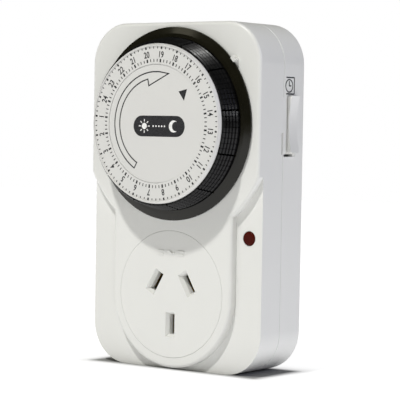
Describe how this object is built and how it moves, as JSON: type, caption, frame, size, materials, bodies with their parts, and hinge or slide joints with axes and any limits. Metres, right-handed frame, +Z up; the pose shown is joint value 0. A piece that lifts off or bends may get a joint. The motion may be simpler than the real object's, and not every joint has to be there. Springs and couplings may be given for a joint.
{
  "type": "programmable timer",
  "caption": "Plug-in mechanical day timer: black ring of push-in segments round a white dial, flat-pin outlet below, override slide on the side, pins at the back.",
  "frame": {"origin": "centre of the plug's pin pattern, on the flat back of the casing", "axes": "+Z up along the casing's height, -Y towards the front (dial and outlet), +X to the right seen from the front"},
  "size_m": [0.0729, 0.0574, 0.1182],
  "materials": {
    "casing": "white ABS, satin moulded skin",
    "dial_white": "white, smooth",
    "dark_plastic": "black, smooth moulded",
    "red_lens": "dark red translucent",
    "lamp_glass": "clear glass",
    "ceramic_body": "lacquered resistor body",
    "copper_wire": "enamelled copper",
    "wire_insulation": "PVC insulation",
    "zinc_steel": "zinc plated",
    "magnet": "sintered ferrite",
    "brass": "stamped brass",
    "pin_brass": "polished brass",
    "gear_plastic": "natural acetal",
    "label": "silver-grey foil label, blank"
  },
  "bodies": {
    "case": {"front_cover": "casing", "rear_cover": "casing", "cover_screws": "zinc_steel", "rating_label": "label", "socket_plate": "casing", "neon_lens": "red_lens", "neon_lamp": "lamp_glass", "neon_resistor": "ceramic_body", "neon_leads": "copper_wire", "dial_post": "dark_plastic", "post_screw": "zinc_steel", "dial_centre_disc": "dial_white", "motor_housing": "zinc_steel", "motor_bobbin": "dark_plastic", "motor_winding": "copper_wire", "motor_leads": "wire_insulation", "gear_arbors": "zinc_steel", "gearbox_pillars": "brass", "gearbox_rear_plate": "zinc_steel", "gearbox_front_plate": "zinc_steel", "lever_pin": "zinc_steel", "lever_spring": "zinc_steel", "switch_base": "dark_plastic", "fixed_contact": "brass", "line_strap": "brass", "load_strap": "brass", "line_pin": "pin_brass", "neutral_pin": "pin_brass", "earth_pin": "pin_brass", "line_clip": "brass", "neutral_clip": "brass", "earth_clip": "brass", "pin_holder": "dark_plastic"},
    "dial": {"dial_drum": "dark_plastic", "dial_scale": "dial_white"},
    "dial_pinion": {"dial_pinion": "brass"},
    "rotor": {"motor_rotor": "magnet"},
    "gear_1": {"gear_1": "gear_plastic"},
    "gear_2": {"gear_2": "gear_plastic"},
    "gear_3": {"gear_3": "gear_plastic"},
    "gear_4": {"gear_4": "gear_plastic"},
    "clutch_gear": {"clutch_gear": "gear_plastic"},
    "lever": {"switch_lever": "gear_plastic"},
    "contact": {"moving_contact": "brass"},
    "override": {"override_knob": "casing", "override_slider": "dial_white"},
    "trippers_00_02": {"trippers_00_02": "dark_plastic"},
    "trippers_02_04": {"trippers_02_04": "dark_plastic"},
    "trippers_04_06": {"trippers_04_06": "dark_plastic"},
    "trippers_06_08": {"trippers_06_08": "dark_plastic"},
    "trippers_08_10": {"trippers_08_10": "dark_plastic"},
    "trippers_10_12": {"trippers_10_12": "dark_plastic"},
    "trippers_12_14": {"trippers_12_14": "dark_plastic"},
    "trippers_14_16": {"trippers_14_16": "dark_plastic"},
    "trippers_16_18": {"trippers_16_18": "dark_plastic"},
    "trippers_18_20": {"trippers_18_20": "dark_plastic"},
    "trippers_20_22": {"trippers_20_22": "dark_plastic"},
    "trippers_22_24": {"trippers_22_24": "dark_plastic"}
  },
  "joints": [
    {"name": "dial_turn", "type": "hinge", "parent": "case", "child": "dial", "pos_m": [0, -0.03, 0.058], "axis": [0, 1, 0], "continuous": true},
    {"name": "dial_pinion_spin", "type": "hinge", "parent": "case", "child": "dial_pinion", "pos_m": [-0.01379, -0.02, 0.04421], "axis": [0, 1, 0], "continuous": true},
    {"name": "rotor_spin", "type": "hinge", "parent": "case", "child": "rotor", "pos_m": [0.001, -0.008, 0.0635], "axis": [0, -1, 0], "continuous": true},
    {"name": "gear_1_spin", "type": "hinge", "parent": "case", "child": "gear_1", "pos_m": [0.001, -0.015, 0.07556], "axis": [0, 1, 0], "continuous": true},
    {"name": "gear_2_spin", "type": "hinge", "parent": "case", "child": "gear_2", "pos_m": [-0.01213, -0.015, 0.07741], "axis": [0, 1, 0], "continuous": true},
    {"name": "gear_3_spin", "type": "hinge", "parent": "case", "child": "gear_3", "pos_m": [-0.01974, -0.015, 0.06654], "axis": [0, 1, 0], "continuous": true},
    {"name": "gear_4_spin", "type": "hinge", "parent": "case", "child": "gear_4", "pos_m": [-0.01976, -0.015, 0.05328], "axis": [0, 1, 0], "continuous": true},
    {"name": "clutch_gear_spin", "type": "hinge", "parent": "case", "child": "clutch_gear", "pos_m": [-0.01379, -0.015, 0.04421], "axis": [0, 1, 0], "continuous": true},
    {"name": "override_slide", "type": "slide", "parent": "case", "child": "override", "axis": [0, 0, -1], "range_m": [0, 0.004]},
    {"name": "lever_turn", "type": "hinge", "parent": "case", "child": "lever", "pos_m": [0.0212, -0.0145, 0.062], "axis": [-1, 0, 0], "range_deg": [0, 3.4], "deforming": ["lever_spring"]},
    {"name": "contact_flex", "type": "hinge", "parent": "case", "child": "contact", "pos_m": [0.0243, -0.0158, 0.037], "axis": [1, 0, 0], "range_deg": [0, 4]},
    {"name": "push_00_02", "type": "slide", "parent": "dial", "child": "trippers_00_02", "axis": [0, 1, 0], "range_m": [0, 0.003]},
    {"name": "push_02_04", "type": "slide", "parent": "dial", "child": "trippers_02_04", "axis": [0, 1, 0], "range_m": [0, 0.003]},
    {"name": "push_04_06", "type": "slide", "parent": "dial", "child": "trippers_04_06", "axis": [0, 1, 0], "range_m": [0, 0.003]},
    {"name": "push_06_08", "type": "slide", "parent": "dial", "child": "trippers_06_08", "axis": [0, 1, 0], "range_m": [0, 0.003]},
    {"name": "push_08_10", "type": "slide", "parent": "dial", "child": "trippers_08_10", "axis": [0, 1, 0], "range_m": [0, 0.003]},
    {"name": "push_10_12", "type": "slide", "parent": "dial", "child": "trippers_10_12", "axis": [0, 1, 0], "range_m": [0, 0.003]},
    {"name": "push_12_14", "type": "slide", "parent": "dial", "child": "trippers_12_14", "axis": [0, 1, 0], "range_m": [0, 0.003]},
    {"name": "push_14_16", "type": "slide", "parent": "dial", "child": "trippers_14_16", "axis": [0, 1, 0], "range_m": [0, 0.003]},
    {"name": "push_16_18", "type": "slide", "parent": "dial", "child": "trippers_16_18", "axis": [0, 1, 0], "range_m": [0, 0.003]},
    {"name": "push_18_20", "type": "slide", "parent": "dial", "child": "trippers_18_20", "axis": [0, 1, 0], "range_m": [0, 0.003]},
    {"name": "push_20_22", "type": "slide", "parent": "dial", "child": "trippers_20_22", "axis": [0, 1, 0], "range_m": [0, 0.003]},
    {"name": "push_22_24", "type": "slide", "parent": "dial", "child": "trippers_22_24", "axis": [0, 1, 0], "range_m": [0, 0.003]}
  ],
  "couplings": [
    {"joint": "dial_pinion_spin", "follows": "dial_turn", "ratio": 7.5},
    {"joint": "gear_1_spin", "follows": "rotor_spin", "ratio": 0.11111},
    {"joint": "gear_2_spin", "follows": "rotor_spin", "ratio": -0.011111},
    {"joint": "gear_3_spin", "follows": "rotor_spin", "ratio": 0.0011111},
    {"joint": "gear_4_spin", "follows": "rotor_spin", "ratio": -0.00011111},
    {"joint": "clutch_gear_spin", "follows": "rotor_spin", "ratio": 0.000013889},
    {"joint": "lever_turn", "follows": "override_slide", "rad_per_m": 14.6},
    {"joint": "contact_flex", "follows": "override_slide", "rad_per_m": 17}
  ]
}
